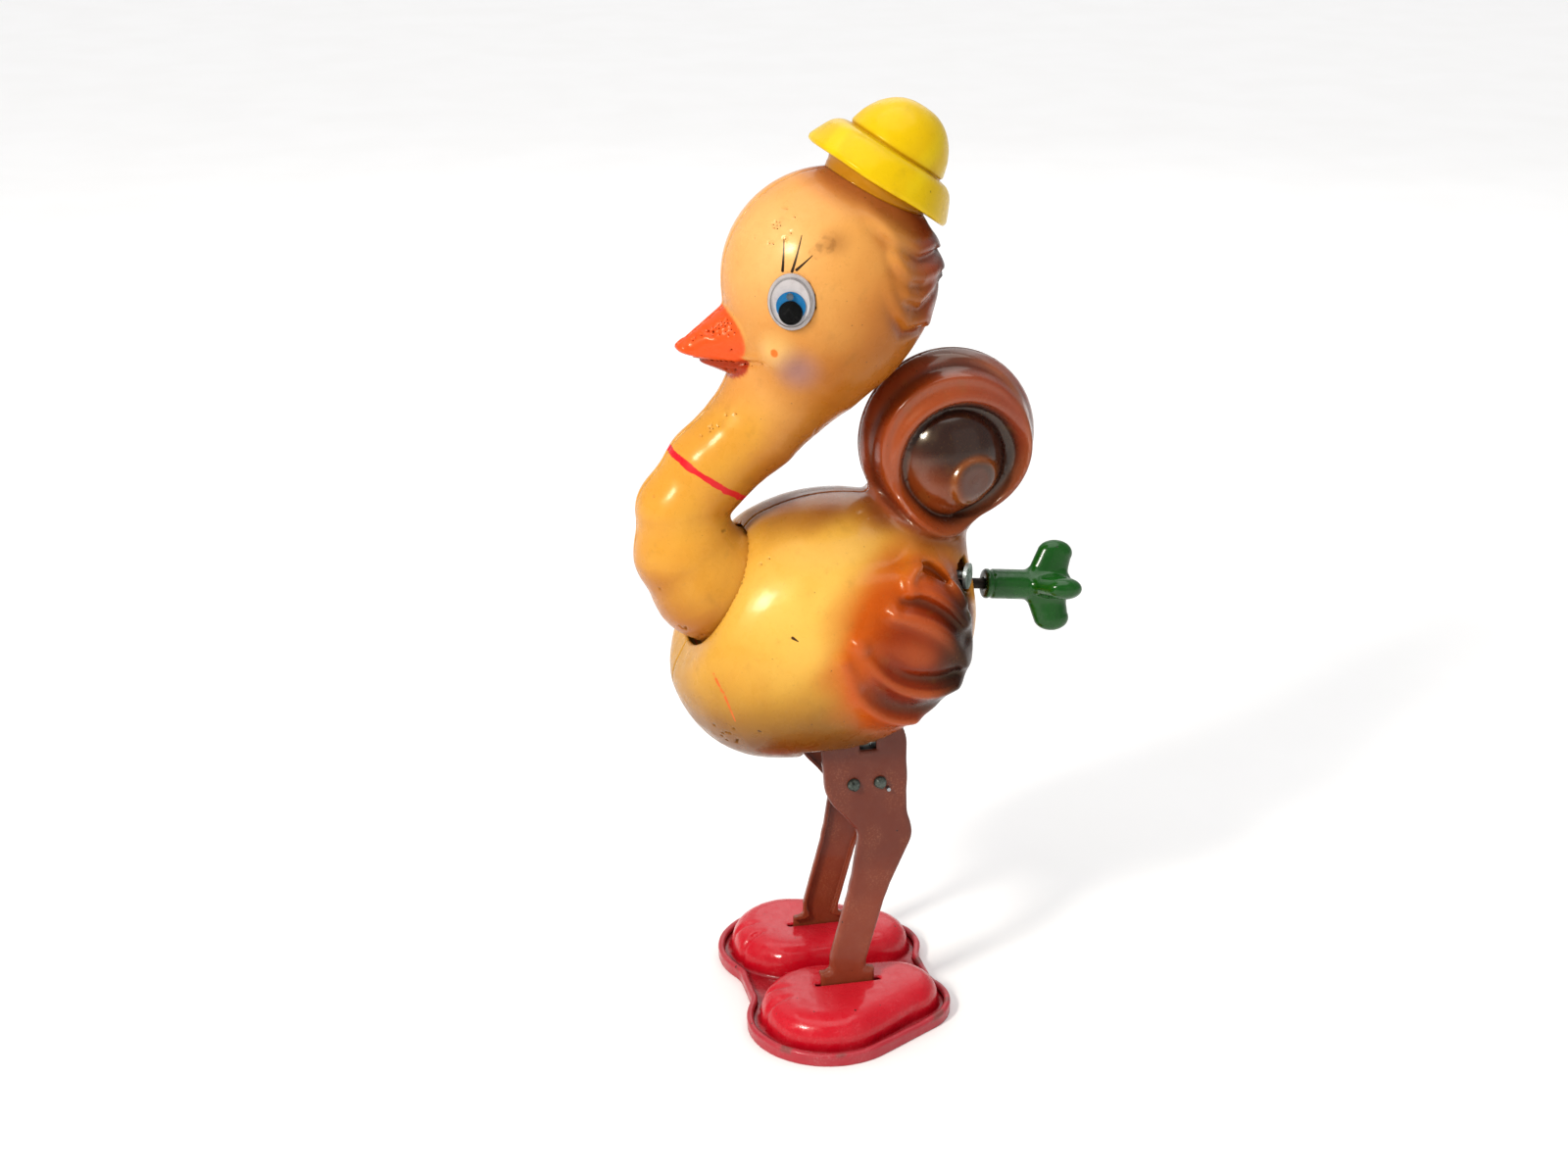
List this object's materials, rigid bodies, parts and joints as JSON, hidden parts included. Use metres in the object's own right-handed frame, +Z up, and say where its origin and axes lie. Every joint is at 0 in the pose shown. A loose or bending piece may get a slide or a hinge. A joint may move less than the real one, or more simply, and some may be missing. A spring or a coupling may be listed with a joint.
{
  "type": "wind-up hopping toy",
  "caption": "Wind-up hopping bird toy: hollow moulded body and nodding head, tin legs in joined shoes, clockwork motor, rear key, small hat and swinging eye discs.",
  "frame": {"origin": "centre of the footprint of the whole toy's bounding box, on the surface it stands on", "axes": "+Z up, -Y towards the beak, +Y towards the winding key, +X towards the toy's left side"},
  "size_m": [0.073, 0.1046, 0.2155],
  "materials": {
    "celluloid_body": "airbrushed celluloid",
    "celluloid_head": "airbrushed celluloid",
    "celluloid_hat": "celluloid",
    "tin_red": "enamelled tin",
    "tin_brown": "enamelled tin",
    "steel_dark": "oxidised steel",
    "steel": "tinned steel",
    "spring_steel": "spring steel",
    "brass": "stamped brass",
    "key_green": "enamelled casting",
    "eye_white": "glossy",
    "iris_blue": "glossy",
    "pupil_black": "glossy",
    "clear_cover": "clear"
  },
  "bodies": {
    "stand": {"base_tray": "tin_red", "shoe_stamping": "tin_red", "leg_left": "tin_brown", "leg_right": "tin_brown", "hip_pin": "steel_dark", "stop_pin": "steel_dark", "hop_lever": "steel", "return_spring": "spring_steel"},
    "body": {"body_shell_left": "celluloid_body", "body_shell_right": "celluloid_body", "front_plate": "steel", "rear_plate": "steel", "frame_pillars": "steel", "hip_cheek_left": "steel", "hip_cheek_right": "steel", "neck_bracket": "steel", "mainspring": "spring_steel", "ratchet_click": "steel", "shell_studs": "steel"},
    "winding": {"winding_key": "key_green", "winding_arbor": "steel_dark", "great_wheel": "brass", "ratchet_wheel": "brass"},
    "second": {"second_arbor": "steel_dark", "second_pinion": "brass", "second_wheel": "brass"},
    "cam": {"cam_arbor": "steel_dark", "cam_pinion": "brass", "hop_cam": "steel"},
    "head": {"head_shell_left": "celluloid_head", "head_shell_right": "celluloid_head", "neck_pin": "steel_dark", "hat": "celluloid_hat", "eye_plate_left": "eye_white", "eye_plate_right": "eye_white", "eye_pin_left": "steel", "eye_pin_right": "steel", "eye_blister_left": "clear_cover", "eye_blister_right": "clear_cover"},
    "eye_disc_left": {"iris_left": "iris_blue", "pupil_left": "pupil_black"},
    "eye_disc_right": {"iris_right": "iris_blue", "pupil_right": "pupil_black"}
  },
  "joints": [
    {"name": "body_rock", "type": "hinge", "parent": "stand", "child": "body", "pos_m": [0, -0.0052, 0.0613], "axis": [1, 0, 0], "range_deg": [0, 8], "stiffness_Nm_per_rad": 0.12, "springref_deg": -20.05},
    {"name": "head_nod", "type": "hinge", "parent": "body", "child": "head", "pos_m": [0, -0.0302, 0.106], "axis": [1, 0, 0], "range_deg": [0, 10]},
    {"name": "key_spin", "type": "hinge", "parent": "body", "child": "winding", "pos_m": [0, -0.0052, 0.106], "axis": [0, 0.9945, -0.1045], "continuous": true},
    {"name": "second_spin", "type": "hinge", "parent": "body", "child": "second", "pos_m": [0.003, -0.00652, 0.09342], "axis": [0, 0.9945, -0.1045], "continuous": true},
    {"name": "cam_spin", "type": "hinge", "parent": "body", "child": "cam", "pos_m": [-0.0015, -0.00746, 0.08454], "axis": [0, 0.9945, -0.1045], "continuous": true},
    {"name": "eye_swing_left", "type": "hinge", "parent": "head", "child": "eye_disc_left", "pos_m": [0.0179, -0.0205, 0.1781], "axis": [0.9135, -0.4067, 0], "range_deg": [-16, 16]},
    {"name": "eye_swing_right", "type": "hinge", "parent": "head", "child": "eye_disc_right", "pos_m": [-0.0179, -0.0205, 0.1781], "axis": [0.9135, 0.4067, 0], "range_deg": [-16, 16]}
  ],
  "couplings": [
    {"joint": "second_spin", "follows": "key_spin", "ratio": -5.5},
    {"joint": "cam_spin", "follows": "key_spin", "ratio": 22}
  ]
}
